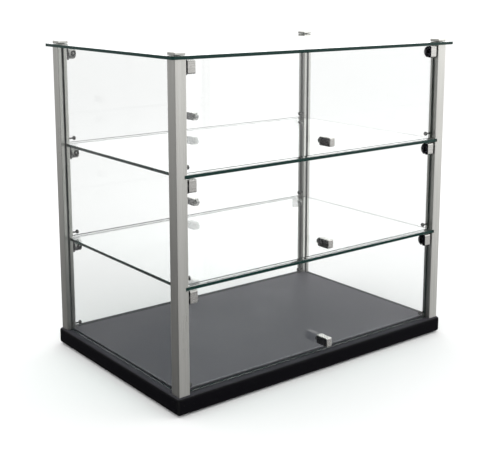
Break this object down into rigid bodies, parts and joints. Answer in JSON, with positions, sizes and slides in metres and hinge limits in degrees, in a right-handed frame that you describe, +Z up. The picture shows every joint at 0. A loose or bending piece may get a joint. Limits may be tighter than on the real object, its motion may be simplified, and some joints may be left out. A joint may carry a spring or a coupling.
{
  "type": "glass display showcase",
  "caption": "Countertop glass showcase: black base, square metal corner posts, glass shelves and top, and top-hinged glass flaps with bar knobs on both long sides.",
  "frame": {"origin": "middle of the footprint, on the surface that the feet stand on", "axes": "+X along the long sides to the right, -Y towards the front, +Z up"},
  "size_m": [0.6, 0.4164, 0.55],
  "materials": {
    "black_laminate": "black satin laminate over board, rounded edges",
    "charcoal_laminate": "charcoal satin laminate",
    "rubber": "matt black",
    "zinc_steel": "zinc plated",
    "satin_aluminium": "satin anodised, brushed lengthways",
    "satin_nickel": "satin nickel plated",
    "clear_glass": "clear float glass with polished, slightly green edges"
  },
  "bodies": {
    "cabinet": {"base_board": "black_laminate", "floor_panel": "charcoal_laminate", "foot_front_left": "rubber", "foot_front_right": "rubber", "foot_rear_left": "rubber", "foot_rear_right": "rubber", "post_bolt_front_left": "zinc_steel", "post_bolt_front_right": "zinc_steel", "post_bolt_rear_left": "zinc_steel", "post_bolt_rear_right": "zinc_steel", "post_front_left": "satin_aluminium", "post_front_right": "satin_aluminium", "post_rear_left": "satin_aluminium", "post_rear_right": "satin_aluminium", "side_glass_left": "clear_glass", "side_glass_right": "clear_glass", "lower_shelf": "clear_glass", "upper_shelf": "clear_glass", "top_glass": "clear_glass", "cap_front_left": "satin_aluminium", "cap_front_right": "satin_aluminium", "cap_rear_left": "satin_aluminium", "cap_rear_right": "satin_aluminium", "stop_pin_front_lower_left": "satin_nickel", "stop_pin_front_lower_right": "satin_nickel", "stop_pin_front_middle_left": "satin_nickel", "stop_pin_front_middle_right": "satin_nickel", "stop_pin_front_upper_left": "satin_nickel", "stop_pin_front_upper_right": "satin_nickel", "stop_pin_rear_lower_left": "satin_nickel", "stop_pin_rear_lower_right": "satin_nickel", "stop_pin_rear_middle_left": "satin_nickel", "stop_pin_rear_middle_right": "satin_nickel", "stop_pin_rear_upper_left": "satin_nickel", "stop_pin_rear_upper_right": "satin_nickel"},
    "front_lower_door": {"front_lower_door_glass": "clear_glass", "front_lower_hinge_left": "satin_nickel", "front_lower_hinge_right": "satin_nickel", "front_lower_knob": "satin_nickel"},
    "front_middle_door": {"front_middle_door_glass": "clear_glass", "front_middle_hinge_left": "satin_nickel", "front_middle_hinge_right": "satin_nickel", "front_middle_knob": "satin_nickel"},
    "front_upper_door": {"front_upper_door_glass": "clear_glass", "front_upper_hinge_left": "satin_nickel", "front_upper_hinge_right": "satin_nickel", "front_upper_knob": "satin_nickel"},
    "rear_lower_door": {"rear_lower_door_glass": "clear_glass", "rear_lower_hinge_left": "satin_nickel", "rear_lower_hinge_right": "satin_nickel", "rear_lower_knob": "satin_nickel"},
    "rear_middle_door": {"rear_middle_door_glass": "clear_glass", "rear_middle_hinge_left": "satin_nickel", "rear_middle_hinge_right": "satin_nickel", "rear_middle_knob": "satin_nickel"},
    "rear_upper_door": {"rear_upper_door_glass": "clear_glass", "rear_upper_hinge_left": "satin_nickel", "rear_upper_hinge_right": "satin_nickel", "rear_upper_knob": "satin_nickel"}
  },
  "joints": [
    {"name": "front_lower_door_hinge", "type": "hinge", "parent": "cabinet", "child": "front_lower_door", "pos_m": [0, -0.1839, 0.1827], "axis": [-1, 0, 0], "range_deg": [0, 90]},
    {"name": "front_middle_door_hinge", "type": "hinge", "parent": "cabinet", "child": "front_middle_door", "pos_m": [0, -0.1839, 0.3527], "axis": [-1, 0, 0], "range_deg": [0, 90]},
    {"name": "front_upper_door_hinge", "type": "hinge", "parent": "cabinet", "child": "front_upper_door", "pos_m": [0, -0.1839, 0.5277], "axis": [-1, 0, 0], "range_deg": [0, 90]},
    {"name": "rear_lower_door_hinge", "type": "hinge", "parent": "cabinet", "child": "rear_lower_door", "pos_m": [0, 0.1839, 0.1827], "axis": [1, 0, 0], "range_deg": [0, 90]},
    {"name": "rear_middle_door_hinge", "type": "hinge", "parent": "cabinet", "child": "rear_middle_door", "pos_m": [0, 0.1839, 0.3527], "axis": [1, 0, 0], "range_deg": [0, 90]},
    {"name": "rear_upper_door_hinge", "type": "hinge", "parent": "cabinet", "child": "rear_upper_door", "pos_m": [0, 0.1839, 0.5277], "axis": [1, 0, 0], "range_deg": [0, 90]}
  ]
}
